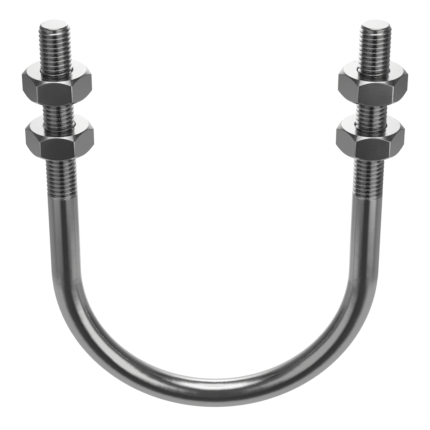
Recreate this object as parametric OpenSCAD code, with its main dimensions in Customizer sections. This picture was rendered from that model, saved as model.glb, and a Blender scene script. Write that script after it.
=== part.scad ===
// U-bolt with two hex nuts on each threaded leg.
// Millimetres, +Z up. The origin is the centre of the bend, which is where the
// centre line of the clamped pipe runs, along Y. The legs rise along +Z.

/* [Rod] */
// Diameter of the plain bar that is bent into the U
rod_d = 10; // [8:1:12]
// Clear width between the two legs
inside_w = 90; // [60:1:140]
// Height of the stud ends above the centre of the bend
leg_h = 88.5; // [86:0.1:140]
// Length of the thread on each leg, measured down from the stud end
thread_len = 59.3; // [56:0.1:80]
// How much smaller than the bar the thread is across its crests
thread_undersize = 0.04; // [0.02:0.02:0.3]
// Radial width of the bevel on each stud end
tip_bevel = 0.8; // [0.2:0.1:1.2]

/* [Nuts] */
// Width of each nut across its flats
nut_flats = 19.3; // [16:0.1:24]
// Height of each nut
nut_h = 8.4; // [6:0.1:10]
// Diameter of the flat ring that is left on each nut face inside the corner bevels
nut_face_d = 18.8; // [15.5:0.1:18.9]
// Slope of the corner bevels, from the nut face
nut_bevel_angle = 42; // [20:1:45]
// Rounding of the six upright edges
nut_edge_r = 0.3; // [0.1:0.1:0.8]
// Radial play between the thread crests and the bore of a nut
thread_play = 0.05; // [0.02:0.01:0.1]
// Underside of the two lower nuts, above the centre of the bend
lower_nut_z = 45.6; // [42:0.1:48]
// Underside of the two upper nuts, above the centre of the bend
upper_nut_z = 64.7; // [60:0.1:68]

/* [Hidden] */

$fn = 96;

LEFT = -1;
RIGHT = 1;

rod_r = rod_d / 2;
leg_x = (inside_w + rod_d) / 2;           // each leg's axis, from the middle
thread_r = rod_r - thread_undersize / 2;
thread_z = leg_h - thread_len;            // where full thread begins
runout_len = 0.5;                         // taper from the bar down to the thread
tip_bevel_h = 1.8 * tip_bevel;

nut_corner_r = nut_flats / 2 / cos(30);
nut_bore_r = thread_r + thread_play;
nut_face_r = nut_face_d / 2;
nut_bevel_h = (nut_corner_r - nut_face_r) * tan(nut_bevel_angle);
countersink = 0.5;                        // radial width of the bore's mouth

// One leg as a turned profile: bar, run-out, thread envelope and bevelled end.
module leg() {
    rotate_extrude()
        polygon([[0, 0],
                 [rod_r, 0],
                 [rod_r, thread_z - runout_len],
                 [thread_r, thread_z],
                 [thread_r, leg_h - tip_bevel_h],
                 [thread_r - tip_bevel, leg_h],
                 [0, leg_h]]);
}

// The half ring below the legs, in the XZ plane.
module bend() {
    rotate([-90, 0, 0])
        rotate_extrude(angle = 180)
            translate([leg_x, 0])
                circle(r = rod_r);
}

module u_bolt_rod() {
    color("silver") {
        bend();
        for (side = [LEFT, RIGHT])
            translate([side * leg_x, 0, 0])
                leg();
    }
}

// A hexagon with a corner on X and each corner rounded to nut_edge_r.
module rounded_hexagon() {
    round_r = nut_corner_r - nut_edge_r / cos(30);
    union() {
        polygon([for (corner = [0 : 60 : 300], side = [-30, 30])
                 round_r * [cos(corner), sin(corner)]
                 + nut_edge_r * [cos(corner + side), sin(corner + side)]]);
        for (corner = [0 : 60 : 300])
            rotate(corner)
                translate([round_r, 0])
                    circle(r = nut_edge_r);
    }
}

// The turned shape that bevels a nut's corners on both faces.
module nut_envelope() {
    rotate_extrude()
        polygon([[0, 0],
                 [nut_face_r, 0],
                 [nut_corner_r, nut_bevel_h],
                 [nut_corner_r, nut_h - nut_bevel_h],
                 [nut_face_r, nut_h],
                 [0, nut_h]]);
}

// The bore with a countersunk mouth at both faces.
module nut_bore() {
    rotate_extrude()
        polygon([[0, -1],
                 [nut_bore_r + countersink + 1, -1],
                 [nut_bore_r, countersink],
                 [nut_bore_r, nut_h - countersink],
                 [nut_bore_r + countersink + 1, nut_h + 1],
                 [0, nut_h + 1]]);
}

module hex_nut() {
    difference() {
        intersection() {
            linear_extrude(nut_h) rounded_hexagon();
            nut_envelope();
        }
        nut_bore();
    }
}

module nut_on_leg(side, z) {
    color("gainsboro")
        translate([side * leg_x, 0, z])
            hex_nut();
}

module left_lower_nut() { nut_on_leg(LEFT, lower_nut_z); }
module left_upper_nut() { nut_on_leg(LEFT, upper_nut_z); }
module right_lower_nut() { nut_on_leg(RIGHT, lower_nut_z); }
module right_upper_nut() { nut_on_leg(RIGHT, upper_nut_z); }

u_bolt_rod();
left_lower_nut();
left_upper_nut();
right_lower_nut();
right_upper_nut();
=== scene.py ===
import math

import bmesh
import bpy
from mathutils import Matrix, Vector


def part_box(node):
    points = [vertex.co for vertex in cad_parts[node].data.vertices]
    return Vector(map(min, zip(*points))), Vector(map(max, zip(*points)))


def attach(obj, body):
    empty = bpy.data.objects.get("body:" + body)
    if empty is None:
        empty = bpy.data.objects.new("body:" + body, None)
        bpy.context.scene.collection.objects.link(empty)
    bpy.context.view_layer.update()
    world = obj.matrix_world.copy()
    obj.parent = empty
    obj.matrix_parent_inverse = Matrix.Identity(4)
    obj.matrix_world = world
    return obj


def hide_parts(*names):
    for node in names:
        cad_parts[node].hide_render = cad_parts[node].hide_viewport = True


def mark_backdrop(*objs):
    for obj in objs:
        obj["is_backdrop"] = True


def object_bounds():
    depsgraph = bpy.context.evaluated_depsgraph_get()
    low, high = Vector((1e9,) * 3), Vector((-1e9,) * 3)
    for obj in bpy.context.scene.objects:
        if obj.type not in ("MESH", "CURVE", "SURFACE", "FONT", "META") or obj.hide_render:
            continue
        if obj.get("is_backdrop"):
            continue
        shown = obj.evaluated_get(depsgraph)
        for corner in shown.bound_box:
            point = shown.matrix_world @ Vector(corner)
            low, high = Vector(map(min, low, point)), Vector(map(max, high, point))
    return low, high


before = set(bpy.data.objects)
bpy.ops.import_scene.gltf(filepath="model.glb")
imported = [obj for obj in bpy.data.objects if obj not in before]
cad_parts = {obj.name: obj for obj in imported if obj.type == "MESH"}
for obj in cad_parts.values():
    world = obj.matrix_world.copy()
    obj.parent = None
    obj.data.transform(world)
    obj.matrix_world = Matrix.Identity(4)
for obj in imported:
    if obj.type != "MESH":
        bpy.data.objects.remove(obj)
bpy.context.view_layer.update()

MM = 0.001
TURN = 2 * math.pi

# ---------------------------------------------------------------- sizes from the frame

ROD = "u_bolt_rod"
NUTS = ["left_lower_nut", "left_upper_nut", "right_lower_nut", "right_upper_nut"]

rod_low, rod_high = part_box(ROD)
ROD_R = (rod_high.y - rod_low.y) / 2
LEG_X = rod_high.x - ROD_R                # each leg's axis, which is the bend's radius too
TIP_Z = rod_high.z

# ---------------------------------------------------------------- thread, M10 x 1.5

PITCH = 1.5 * MM
THREAD_R = ROD_R - 0.005 * MM             # at the crests
THREAD_LEN = 59.3 * MM
THREAD_DEPTH = 0.613 * PITCH
CREST_HALF = 0.05                         # half the flat crest, in pitches
CREST_ROUND = 0.05                        # the rounding beside it
ROOT_HALF = 0.12                          # half the rounded root
CREST_Z = TIP_Z - 3.25 * MM               # a crest crosses the front of each stud here
FADE_LEN = 0.35 * PITCH                   # over which the groove runs out into the bar
TIP_R = 4.2 * MM                          # stud end, before its edge is rounded
TIP_BEVEL_H = 1.44 * MM
TIP_EDGE_R = 0.5 * MM
ROUND_STEPS = 64                          # columns round the bar
BEND_STEPS = 120
LEG_RINGS = 8                             # from the bend to just below the thread
SUPPORT = 0.06 * MM                       # how far a ring that keeps an edge crisp stands off it

# ---------------------------------------------------------------- nuts

NUT_FACE_R = 9.4 * MM                     # flat ring inside the corner bevels
NUT_BEVEL = math.radians(42)
NUT_UPRIGHT_R = 0.6 * MM                  # rounding of the six upright edges
NUT_EDGE_R = 0.15 * MM                    # rounding of the top face's edges, inner and outer
NUT_BEVEL_EDGE_R = 0.3 * MM               # and of the curved edges below the bevels
NUT_BORE_R = ROD_R + 0.03 * MM
COUNTERSINK = 0.35 * MM
CORNER = math.radians(60)

# ---------------------------------------------------------------- finish of the steel, with painted shade in its recesses

STEEL = (0.60, 0.60, 0.597)
MOTTLE_DARK_AND_PAINTED_SHADE = 0.55                            # of the steel's colour: the dark end of its random mottle, and painted shade in the thread roots and the bores
BAR_ROUGHNESS = 0.14
NUT_ROUGHNESS = 0.16
MOTTLE = 90                               # noise features per metre
SMUDGES = 60
RIPPLES = 230
BAR_LINES = (2600, 2600, 50)              # the same across, across and along the bar
BAR_SCRATCHES = (3400, 3400, 260)
NUT_RINGS = (5200, 45, 45)                # outwards, x and y
NUT_LINES = (90, 90, 3800)                # x, y and z
NUT_SCRATCHES = (300, 300, 4200)
RIPPLE_END = 10 * MM                      # above the bend's start, where its ripples have faded

# ---------------------------------------------------------------- light tent

TENT_R = 405 * MM
TENT_FLOOR = -232 * MM
TENT_TOP = 400 * MM
TENT_SIDES = 180

# brightness of each part of the tent's wall
PLAIN_WALL = 0.166
DARK_JOIN = 0.081
SIDE_SHEET = 0.36
BACK_WALL = 0.87
BACK_GLOW = 1.95
DARK_TOP = 0.126
LEFT_SOFTBOX = 0.58
RIGHT_SOFTBOX = 1.1
FRONT_GAP = 0.08
LOW_GAP = 0.055

# of its floor
FLOOR_FRONT = 0.524
FLOOR_BACK = 0.97
DARK_PATCH = 0.07
PATCH_CENTRE = (-10, -332)                # and its half widths, in millimetres
PATCH_HALF_X = 295
PATCH_HALF_Y = 155

# and of the room above it
ROOM = 0.07
ROOM_BEHIND = 0.285
CEILING = 1.65
CEILING_MIDDLE = 1.215
CEILING_EDGE = 60.9                       # degrees up, in front
CEILING_TILT = 10.8                       # degrees that the edge is higher behind

# ---------------------------------------------------------------- camera

LOOK_DOWN = math.radians(28.55)
CAMERA_DISTANCE = 546.9 * MM
CAMERA_TARGET = (0, 0, 21 * MM)
LENS = 138.6
SENSOR = 36


# ================================================================ mesh helpers

def new_piece(name, mesh, material, location=(0, 0, 0)):
    piece = bpy.data.objects.new(name, mesh)
    piece.location = location
    piece.data.materials.append(material)
    bpy.context.scene.collection.objects.link(piece)
    return piece


def finish_mesh(bm, name, weld=1e-7):
    """Weld, drop faces without area, turn all faces outwards and shade smooth."""
    bmesh.ops.remove_doubles(bm, verts=bm.verts, dist=weld)
    bmesh.ops.dissolve_degenerate(bm, edges=bm.edges, dist=weld)
    bmesh.ops.recalc_face_normals(bm, faces=bm.faces)
    for face in bm.faces:
        face.smooth = True
    mesh = bpy.data.meshes.new(name)
    bm.to_mesh(mesh)
    bm.free()
    return mesh


def add_quads(bm, grid, close_columns):
    """Quads over grid[column][row]. close_columns joins the last column to the first."""
    columns = len(grid)
    for i in range(columns if close_columns else columns - 1):
        here, there = grid[i], grid[(i + 1) % columns]
        for j in range(len(here) - 1):
            bm.faces.new([here[j], there[j], there[j + 1], here[j + 1]])


def arc(corner, before, after, radius, steps=4):
    """Points of a fillet at corner, between the directions before it and after it."""
    before, after = before.normalized(), after.normalized()
    turn = before.angle(after)
    tangent = radius * math.tan(turn / 2)
    start, end = corner - before * tangent, corner + after * tangent
    middle = corner + (after - before).normalized() * radius / math.cos(turn / 2)
    points = []
    for k in range(steps + 1):
        out = (start - middle).lerp(end - middle, k / steps).normalized()
        points.append(middle + out * radius)
    return points


# ================================================================ the bar

def groove(phase):
    """Depth of the thread below its crest, 0 to 1, at a phase of 0 to 1 from crest to crest."""
    away = min(phase, 1 - phase)          # from the crest, in pitches
    flat_end = CREST_HALF + CREST_ROUND
    slope = 1 / (0.5 - flat_end - ROOT_HALF / 2 + CREST_ROUND / 2)
    if away <= CREST_HALF:
        return 0.0
    if away <= flat_end:
        return slope * (away - CREST_HALF) ** 2 / (2 * CREST_ROUND)
    root = 0.5 - away                     # from the middle of the root
    if root >= ROOT_HALF:
        return slope * (away - flat_end + CREST_ROUND / 2)
    return 1 - slope * root * root / (2 * ROOT_HALF)


PHASES = [0, 0.05, 0.075, 0.1, 0.2, 0.3, 0.38, 0.44, 0.5, 0.56, 0.62, 0.7, 0.8, 0.9, 0.925, 0.95]


def thread_r(z, share):
    """Radius of the thread at a height, for a column at a share of a turn from the front."""
    bottom = TIP_Z - THREAD_LEN
    fade = min(max((z - bottom) / FADE_LEN, 0.0), 1.0)
    crest = ROD_R + (THREAD_R - ROD_R) * fade
    phase = (z - CREST_Z) / PITCH - share
    return crest - THREAD_DEPTH * groove(phase % 1) * fade


def stud_end():
    """(radius, height) from the bevel's foot over the rounded edge to the flat end."""
    slope = Vector((TIP_R - THREAD_R, TIP_BEVEL_H))
    edge = arc(Vector((TIP_R, TIP_Z)), slope, Vector((-1, 0)), TIP_EDGE_R, 5)
    return edge + [Vector((edge[-1].x - SUPPORT, TIP_Z))]


def add_leg(bm, side):
    """A threaded leg down to the bend. The rows of the thread follow its helix."""
    bottom = TIP_Z - THREAD_LEN
    end = stud_end()
    top = end[0].y                        # where the rounding of the end begins
    first_turn = math.floor((bottom - CREST_Z) / PITCH) - 2
    last_turn = math.ceil((top - CREST_Z) / PITCH) + 1
    rows = [turn + phase for turn in range(first_turn, last_turn) for phase in PHASES]
    grid = []
    for i in range(ROUND_STEPS):
        share = i / ROUND_STEPS
        angle = TURN * share
        profile = []
        for at in rows:
            z = min(max(CREST_Z + PITCH * (at + share), bottom), top)
            bevel = end[0].x + (top - z) * (THREAD_R - TIP_R) / TIP_BEVEL_H
            profile.append((min(thread_r(z, share), bevel), z))
        profile += [(min(thread_r(p.y, share), p.x), p.y) for p in end[1:]]
        grid.append([bm.verts.new((side * LEG_X + r * math.sin(angle), -r * math.cos(angle), z))
                     for r, z in profile])
    add_quads(bm, grid, False)
    # the last column joins the first one turn on, where the helix is one pitch higher
    last, first = grid[-1], grid[0]
    per_turn = len(PHASES)
    helical = len(rows)
    for j in range(helical - 1 - per_turn):
        bm.faces.new([last[j], first[j + per_turn], first[j + 1 + per_turn], last[j + 1]])
    for j in range(helical - 1, len(last) - 1):
        bm.faces.new([last[j], first[j], first[j + 1], last[j + 1]])
    bm.faces.new([column[-1] for column in grid])


def add_tube(bm, centres, inwards):
    """A tube of the bar's radius through centres, with each ring's first direction in inwards."""
    sideways = Vector((0, 1, 0))
    grid = []
    for i in range(ROUND_STEPS):
        angle = TURN * i / ROUND_STEPS
        grid.append([bm.verts.new(c + ROD_R * (math.cos(angle) * d + math.sin(angle) * sideways))
                     for c, d in zip(centres, inwards)])
    add_quads(bm, grid, True)


def bar_mesh():
    bm = bmesh.new()
    thread_z = TIP_Z - THREAD_LEN
    for side in (-1, 1):
        add_leg(bm, side)
        heights = [(thread_z - SUPPORT) * k / LEG_RINGS for k in range(LEG_RINGS + 1)] + [thread_z]
        add_tube(bm, [Vector((side * LEG_X, 0, z)) for z in heights],
                 [Vector((-side, 0, 0))] * len(heights))
    bend = [math.pi * k / BEND_STEPS for k in range(BEND_STEPS + 1)]
    inwards = [Vector((math.cos(a), 0, math.sin(a))) for a in bend]
    add_tube(bm, [-LEG_X * d for d in inwards], inwards)
    return finish_mesh(bm, "u_bolt_rod_threaded")


# ================================================================ the nuts

def rounded_share(inner_r):
    """Half the angle, seen from the axis, over which a corner of the hexagon is rounded."""
    half = CORNER / 2
    corner_r = inner_r / math.cos(half)
    touches = corner_r - NUT_UPRIGHT_R * math.tan(half) ** 2 / math.cos(half)
    return math.atan(NUT_UPRIGHT_R * math.sin(half) / touches)


def hexagon_angles(rounded):
    """Angles round a nut: close together on the six rounded corners, wide apart on the flats."""
    angles = []
    for corner in range(6):
        at = corner * CORNER
        angles += [at + rounded * k / 3 for k in range(-3, 4)]
        flat = CORNER - 2 * rounded
        angles += [at + rounded + flat * k / 12 for k in range(1, 12)]
    return angles


def hexagon_radius(angle, inner_r, rounded):
    """Distance from the axis to the rounded hexagon that has a corner at angle 0."""
    off = abs((angle + CORNER / 2) % CORNER - CORNER / 2)
    if off >= rounded:
        return inner_r / math.cos(CORNER / 2 - off)
    centre = inner_r / math.cos(CORNER / 2) - NUT_UPRIGHT_R / math.cos(CORNER / 2)
    return centre * math.cos(off) + math.sqrt(NUT_UPRIGHT_R ** 2 - (centre * math.sin(off)) ** 2)


def nut_profile(outer_r, height):
    """(radius, height) from the middle of the bore, over the top face, to the middle of a flat."""
    up, out, down = Vector((0, 1)), Vector((1, 0)), Vector((0, -1))
    sink = Vector((1, 1))
    bevel = Vector((math.cos(NUT_BEVEL), -math.sin(NUT_BEVEL)))
    drop = (outer_r - NUT_FACE_R) * math.tan(NUT_BEVEL)
    half = height / 2
    points = [Vector((NUT_BORE_R, 0))]
    points += [Vector((NUT_BORE_R, half - COUNTERSINK))]
    points += arc(Vector((NUT_BORE_R + COUNTERSINK, half)), sink, out, NUT_EDGE_R)
    points += arc(Vector((NUT_FACE_R, half)), out, bevel, NUT_EDGE_R)
    points += arc(Vector((outer_r, half - drop)), bevel, down, NUT_BEVEL_EDGE_R)
    points += [Vector((outer_r, 0))]
    return points


def nut_mesh(name, across_flats, height):
    bm = bmesh.new()
    inner_r = across_flats / 2
    rounded = rounded_share(inner_r)
    grid = []
    for angle in hexagon_angles(rounded):
        top = nut_profile(hexagon_radius(angle, inner_r, rounded), height)
        loop = top + [Vector((p.x, -p.y)) for p in reversed(top[1:-1])]
        loop.append(top[0])
        grid.append([bm.verts.new((p.x * math.cos(angle), p.x * math.sin(angle), p.y)) for p in loop])
    add_quads(bm, grid, True)
    return finish_mesh(bm, name)


# ================================================================ materials

def maths(tree, operation, *values):
    node = tree.nodes.new("ShaderNodeMath")
    node.operation = operation
    for socket, value in zip(node.inputs, values):
        if isinstance(value, (int, float)):
            socket.default_value = value
        else:
            tree.links.new(value, socket)
    return node.outputs["Value"]


def above(tree, value, edge, soft):
    """0 where value is well below edge, 1 where it is well above, with a change soft wide."""
    step = tree.nodes.new("ShaderNodeMapRange")
    step.interpolation_type = "SMOOTHSTEP"
    step.inputs["From Min"].default_value = edge - soft / 2
    step.inputs["From Max"].default_value = edge + soft / 2
    tree.links.new(value, step.inputs["Value"])
    return step.outputs["Result"]


def below(tree, value, edge, soft):
    return maths(tree, "SUBTRACT", 1.0, above(tree, value, edge, soft))


def ramp(tree, value, low, high, to_low, to_high):
    """value mapped from low..high to to_low..to_high, and held at both ends."""
    step = tree.nodes.new("ShaderNodeMapRange")
    step.inputs["From Min"].default_value = low
    step.inputs["From Max"].default_value = high
    step.inputs["To Min"].default_value = to_low
    step.inputs["To Max"].default_value = to_high
    tree.links.new(value, step.inputs["Value"])
    return step.outputs["Result"]


def noise(tree, vector, scale, detail):
    """Noise from 0 to 1 with features 1 / scale wide."""
    texture = tree.nodes.new("ShaderNodeTexNoise")
    texture.noise_dimensions = "4D"
    piece = tree.nodes.new("ShaderNodeObjectInfo")     # so that no two nuts look the same
    tree.links.new(maths(tree, "MULTIPLY", piece.outputs["Random"], 50.0), texture.inputs["W"])
    texture.inputs["Scale"].default_value = scale
    texture.inputs["Detail"].default_value = detail
    tree.links.new(vector, texture.inputs["Vector"])
    return texture.outputs["Fac"]


def stretched(tree, x, y, z, scales):
    """A vector of three values, each multiplied by its own scale."""
    vector = tree.nodes.new("ShaderNodeCombineXYZ")
    for socket, value, scale in zip(vector.inputs, (x, y, z), scales):
        tree.links.new(maths(tree, "MULTIPLY", value, scale), socket)
    return vector.outputs["Vector"]


def length(tree, x, y):
    squares = [maths(tree, "MULTIPLY", value, value) for value in (x, y)]
    return maths(tree, "SQRT", maths(tree, "ADD", *squares))


def steel(name):
    """A metal material: (material, its tree, its shader, object coordinates, x, y, z)."""
    material = bpy.data.materials.new(name)
    material.use_nodes = True
    tree = material.node_tree
    shader = tree.nodes["Principled BSDF"]
    shader.inputs["Metallic"].default_value = 1.0
    place = tree.nodes.new("ShaderNodeTexCoord").outputs["Object"]
    axes = tree.nodes.new("ShaderNodeSeparateXYZ")
    tree.links.new(place, axes.inputs["Vector"])
    return material, tree, shader, place, *[axes.outputs[axis] for axis in "XYZ"]


def finish_and_painted_shade(tree, shader, place, roughness, scratches, shade, layers):
    """
    Colour, roughness and relief of polished steel. scratches is 0 on unscratched metal and 1 in a
    scratch, shade is 1 where no shade is painted and less where shade is painted into the colour,
    and layers are pairs of a height from 0 to 1 and its depth.
    """
    mottle = noise(tree, place, MOTTLE, 4)
    tone = tree.nodes.new("ShaderNodeMix")
    tone.data_type = "RGBA"
    tone.inputs["A"].default_value = (*[c * MOTTLE_DARK_AND_PAINTED_SHADE for c in STEEL], 1)
    tone.inputs["B"].default_value = (*STEEL, 1)
    # The colour darkens where shade is painted, and a little at random with the mottle.
    mottle_and_painted_shade = maths(tree, "MULTIPLY", shade, ramp(tree, mottle, 0.3, 0.7, 0.88, 1.0))
    tree.links.new(mottle_and_painted_shade, tone.inputs["Factor"])
    tree.links.new(tone.outputs["Result"], shader.inputs["Base Color"])

    smudges = ramp(tree, noise(tree, place, SMUDGES, 3), 0.45, 0.75, 0.0, 0.04)
    rough = maths(tree, "ADD", ramp(tree, mottle, 0.3, 0.7, roughness - 0.02, roughness + 0.02), smudges)
    rough = maths(tree, "ADD", rough, maths(tree, "MULTIPLY", scratches, 0.08))
    tree.links.new(rough, shader.inputs["Roughness"])

    normal = None
    for height, depth in layers:
        bump = tree.nodes.new("ShaderNodeBump")
        bump.inputs["Distance"].default_value = depth
        tree.links.new(height, bump.inputs["Height"])
        if normal:
            tree.links.new(normal, bump.inputs["Normal"])
        normal = bump.outputs["Normal"]
    tree.links.new(normal, shader.inputs["Normal"])


def bar_steel():
    """Drawn, bent and polished bar: lines along it, slow ripples, and painted shade in the thread roots.
    """
    material, tree, shader, place, x, y, z = steel("polished bar")
    below_legs = maths(tree, "MINIMUM", z, 0.0)
    out = length(tree, x, below_legs)                  # in the plane of the U
    off = maths(tree, "SUBTRACT", out, LEG_X)
    bend_angle = maths(tree, "ARCTAN2", below_legs, maths(tree, "ABSOLUTE", x))
    along = maths(tree, "ADD", maths(tree, "MULTIPLY", bend_angle, LEG_X), z)
    along = maths(tree, "ADD", along, maths(tree, "SIGN", x))
    drawn = noise(tree, stretched(tree, off, y, along, BAR_LINES), 1, 3)
    specks = noise(tree, stretched(tree, off, y, along, BAR_SCRATCHES), 1, 2)
    scratches = above(tree, specks, 0.70, 0.06)
    deep = length(tree, off, y)                        # from the centre line of the bar
    # Painted shade in the thread roots: the colour darkens towards the bottom of each groove.
    root = ramp(tree, deep, ROD_R - THREAD_DEPTH, ROD_R - 0.3 * THREAD_DEPTH, 0.0, 1.0)
    # The stud's end is left without painted shade.
    shade = maths(tree, "MAXIMUM", root, above(tree, z, TIP_Z - TIP_BEVEL_H, 0.5 * MM))
    bent = ramp(tree, z, 0.0, RIPPLE_END, 1.0, 0.15)    # the ripples come from the bending
    ripples = maths(tree, "MULTIPLY", noise(tree, place, RIPPLES, 2), bent)
    finish_and_painted_shade(tree, shader, place, BAR_ROUGHNESS, scratches, shade,
              ((ripples, 0.09 * MM), (drawn, 0.002 * MM), (scratches, 0.002 * MM)))
    return material


def nut_steel():
    """Polished nuts: faint turning rings on the two faces, fine grinding lines on the flats, and painted
    shade in the bores.
    """
    material, tree, shader, place, x, y, z = steel("polished nut")
    normal = tree.nodes.new("ShaderNodeTexCoord").outputs["Normal"]
    facing = tree.nodes.new("ShaderNodeSeparateXYZ")
    tree.links.new(normal, facing.inputs["Vector"])
    on_face = above(tree, maths(tree, "ABSOLUTE", facing.outputs["Z"]), 0.95, 0.06)
    on_flat = maths(tree, "SUBTRACT", 1.0, on_face)
    out = length(tree, x, y)
    rings = noise(tree, stretched(tree, out, x, y, NUT_RINGS), 1, 3)
    ground = noise(tree, stretched(tree, x, y, z, NUT_LINES), 1, 3)
    specks = noise(tree, stretched(tree, x, y, z, NUT_SCRATCHES), 1, 2)
    scratches = above(tree, specks, 0.72, 0.06)
    # Painted shade in the bore and its countersink: the colour darkens towards the bore.
    bore = ramp(tree, out, NUT_BORE_R, NUT_BORE_R + COUNTERSINK, 0.5, 1.0)
    finish_and_painted_shade(tree, shader, place, NUT_ROUGHNESS, scratches, bore,
              ((noise(tree, place, RIPPLES, 2), 0.02 * MM),
               (maths(tree, "MULTIPLY", rings, on_face), 0.003 * MM),
               (maths(tree, "MULTIPLY", ground, on_flat), 0.002 * MM)))
    return material


# ================================================================ studio

def laid_over(tree, under, brightness, *masks):
    """under, with brightness laid over it where all the masks are 1."""
    mask = masks[0]
    for more in masks[1:]:
        mask = maths(tree, "MULTIPLY", mask, more)
    gain = maths(tree, "SUBTRACT", brightness, under)
    return maths(tree, "ADD", under, maths(tree, "MULTIPLY", gain, mask))


def between(tree, value, low, high, soft):
    return maths(tree, "MULTIPLY", above(tree, value, low, soft), below(tree, value, high, soft))


def far_out(tree, x, y, centre, half_x, half_y):
    """Distance from a centre, counted in half widths: 1 on the edge of the ellipse."""
    across = maths(tree, "DIVIDE", maths(tree, "SUBTRACT", x, centre[0]), half_x)
    along = maths(tree, "DIVIDE", maths(tree, "SUBTRACT", y, centre[1]), half_y)
    squares = [maths(tree, "MULTIPLY", part, part) for part in (across, along)]
    return maths(tree, "SQRT", maths(tree, "ADD", *squares))


def degrees_round(tree, x, y):
    """0 in front, 90 at the right, -90 at the left and 180 behind."""
    radians = maths(tree, "ARCTAN2", x, maths(tree, "MULTIPLY", y, -1.0))
    return maths(tree, "MULTIPLY", radians, 180 / math.pi)


def wall_light(tree, x, y, z):
    """
    Brightness of the tent's wall, from its plain part up to what lies over everything else.
    Edges and softness are in degrees from the front round it and in millimetres up it.
    """
    around = degrees_round(tree, x, y)
    aside = maths(tree, "ABSOLUTE", around)
    join = between(tree, aside, 97, 112, 14)
    light = laid_over(tree, PLAIN_WALL, DARK_JOIN, join)
    sheet = between(tree, aside, 83, 142, 53)
    light = laid_over(tree, light, SIDE_SHEET, sheet, below(tree, z, -108, 70))
    light = laid_over(tree, light, BACK_WALL, above(tree, aside, 152, 56))
    glow_height = between(tree, z, 113, 315, 270)
    light = laid_over(tree, light, BACK_GLOW, above(tree, aside, 162, 37), glow_height)
    light = laid_over(tree, light, DARK_TOP, above(tree, z, 326, 185), below(tree, aside, 158, 93))
    left_height = between(tree, z, -166, 200, 128)
    light = laid_over(tree, light, LEFT_SOFTBOX, between(tree, around, -69, -12, 16), left_height)
    right_height = between(tree, z, -166, 202, 146)
    light = laid_over(tree, light, RIGHT_SOFTBOX, between(tree, around, 10, 68, 20), right_height)
    light = laid_over(tree, light, FRONT_GAP, below(tree, aside, 15, 22), below(tree, z, 326, 185))
    return laid_over(tree, light, LOW_GAP, below(tree, aside, 23, 22), below(tree, z, -80, 60))


def floor_light(tree, x, y, z):
    """Brightness of the tent's floor, in millimetres. Its height z is the same all over."""
    light = laid_over(tree, FLOOR_FRONT, FLOOR_BACK, above(tree, y, 340, 139))
    out = far_out(tree, x, y, PATCH_CENTRE, PATCH_HALF_X, PATCH_HALF_Y)
    return laid_over(tree, light, DARK_PATCH, below(tree, out, 1, 1.01))


def overhead_light():
    """The high ceiling light, seen over the top of the tent: brightness by direction in degrees."""
    world = bpy.data.worlds.new("studio")
    bpy.context.scene.world = world
    world.use_nodes = True
    tree = world.node_tree
    place = tree.nodes.new("ShaderNodeTexCoord")
    axes = tree.nodes.new("ShaderNodeSeparateXYZ")
    tree.links.new(place.outputs["Generated"], axes.inputs["Vector"])
    up = maths(tree, "MULTIPLY", maths(tree, "ARCSINE", axes.outputs["Z"]), 180 / math.pi)
    aside = maths(tree, "ABSOLUTE", degrees_round(tree, axes.outputs["X"], axes.outputs["Y"]))
    behind = above(tree, aside, 120, 30)
    light = laid_over(tree, ROOM, ROOM_BEHIND, above(tree, up, 53.8, 8), behind)
    tilt = maths(tree, "MULTIPLY", above(tree, aside, 95, 90), CEILING_TILT)
    up_tilted = maths(tree, "SUBTRACT", up, tilt)
    light = laid_over(tree, light, CEILING, above(tree, up_tilted, CEILING_EDGE, 20))
    light = laid_over(tree, light, CEILING_MIDDLE, above(tree, up, 82, 10))
    background = tree.nodes["Background"]
    background.inputs["Color"].default_value = (1, 1, 1, 1)
    tree.links.new(light, background.inputs["Strength"])


def tent_side(name, mesh, brightness):
    """One side of the light tent round the object, which only shows in the steel."""
    material = bpy.data.materials.new(name)
    material.use_nodes = True
    tree = material.node_tree
    tree.nodes.remove(tree.nodes["Principled BSDF"])
    place = tree.nodes.new("ShaderNodeTexCoord")
    axes = tree.nodes.new("ShaderNodeSeparateXYZ")
    tree.links.new(place.outputs["Object"], axes.inputs["Vector"])
    x, y, z = [maths(tree, "DIVIDE", axes.outputs[axis], MM) for axis in "XYZ"]
    glow = tree.nodes.new("ShaderNodeEmission")
    tree.links.new(brightness(tree, x, y, z), glow.inputs["Strength"])
    tree.links.new(glow.outputs["Emission"], tree.nodes["Material Output"].inputs["Surface"])
    side = new_piece(name, mesh, material)
    side.visible_camera = False
    side.visible_diffuse = False
    side.visible_shadow = False
    side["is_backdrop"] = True


def light_tent():
    """A round tent, open at the top: two softboxes in its wall, with a dark gap between them."""
    angles = [TURN * k / TENT_SIDES for k in range(TENT_SIDES)]
    outline = [(TENT_R * math.sin(a), -TENT_R * math.cos(a)) for a in angles]
    bm = bmesh.new()
    grid = [[bm.verts.new((x, y, z)) for z in (TENT_FLOOR, TENT_TOP)] for x, y in outline]
    add_quads(bm, grid, True)
    tent_side("tent_wall", finish_mesh(bm, "tent_wall"), wall_light)
    bm = bmesh.new()
    bm.faces.new([bm.verts.new((x, y, TENT_FLOOR)) for x, y in outline])
    tent_side("tent_floor", finish_mesh(bm, "tent_floor"), floor_light)


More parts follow.
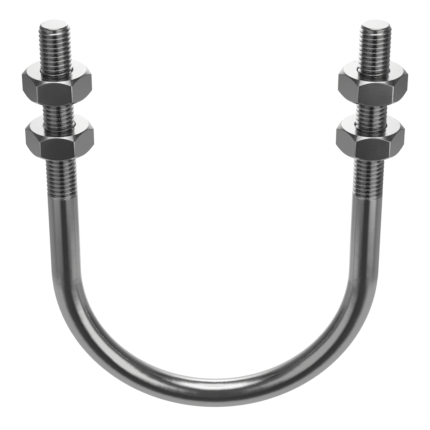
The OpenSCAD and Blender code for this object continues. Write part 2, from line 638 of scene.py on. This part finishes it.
def pale(name):
    """An even white, which glows because no lamp lights it."""
    material = bpy.data.materials.new(name)
    material.use_nodes = True
    shader = material.node_tree.nodes["Principled BSDF"]
    shader.inputs["Base Color"].default_value = (0.02, 0.02, 0.02, 1)
    shader.inputs["Roughness"].default_value = 0.9
    shader.inputs["Emission Color"].default_value = (1, 1, 1, 1)
    shader.inputs["Emission Strength"].default_value = 1.0
    return material


def only_for_the_camera(thing):
    thing.visible_diffuse = False
    thing.visible_glossy = False
    thing.visible_transmission = False
    thing.visible_volume_scatter = False
    thing.visible_shadow = False


def floor_and_backdrop():
    bm = bmesh.new()
    bmesh.ops.create_circle(bm, cap_ends=True, segments=96, radius=30)
    floor = new_piece("floor", finish_mesh(bm, "floor"), pale("pale floor"), (0, 0, -1))
    bm = bmesh.new()
    bmesh.ops.create_uvsphere(bm, u_segments=48, v_segments=24, radius=29)
    backdrop = new_piece("backdrop", finish_mesh(bm, "backdrop"), pale("pale backdrop"))
    for thing in (floor, backdrop):
        only_for_the_camera(thing)
    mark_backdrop(floor, backdrop)


def camera():
    """A long lens above the front of the object, looking down at it."""
    back = Vector((0, -math.cos(LOOK_DOWN), math.sin(LOOK_DOWN)))
    data = bpy.data.cameras.new("camera")
    data.lens = LENS
    data.sensor_width = SENSOR
    data.clip_start, data.clip_end = 0.01, 100
    shot = bpy.data.objects.new("camera", data)
    shot.location = Vector(CAMERA_TARGET) + back * CAMERA_DISTANCE
    shot.rotation_euler = (math.pi / 2 - LOOK_DOWN, 0, 0)
    bpy.context.scene.collection.objects.link(shot)
    bpy.context.scene.camera = shot


# ================================================================ build

camera()
overhead_light()
light_tent()
floor_and_backdrop()
bpy.context.scene.view_settings.view_transform = "Standard"

bar = new_piece("u_bolt_rod_threaded", bar_mesh(), bar_steel())
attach(bar, "rod")
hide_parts(ROD)

nut_material = nut_steel()
for node in NUTS:
    low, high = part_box(node)
    mesh = nut_mesh(node + "_bevelled", high.y - low.y, high.z - low.z)
    nut = new_piece(node + "_bevelled", mesh, nut_material, (low + high) / 2)
    nut.modifiers.new("flat faces stay flat", "WEIGHTED_NORMAL").keep_sharp = True
    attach(nut, node)
    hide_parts(node)

low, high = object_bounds()
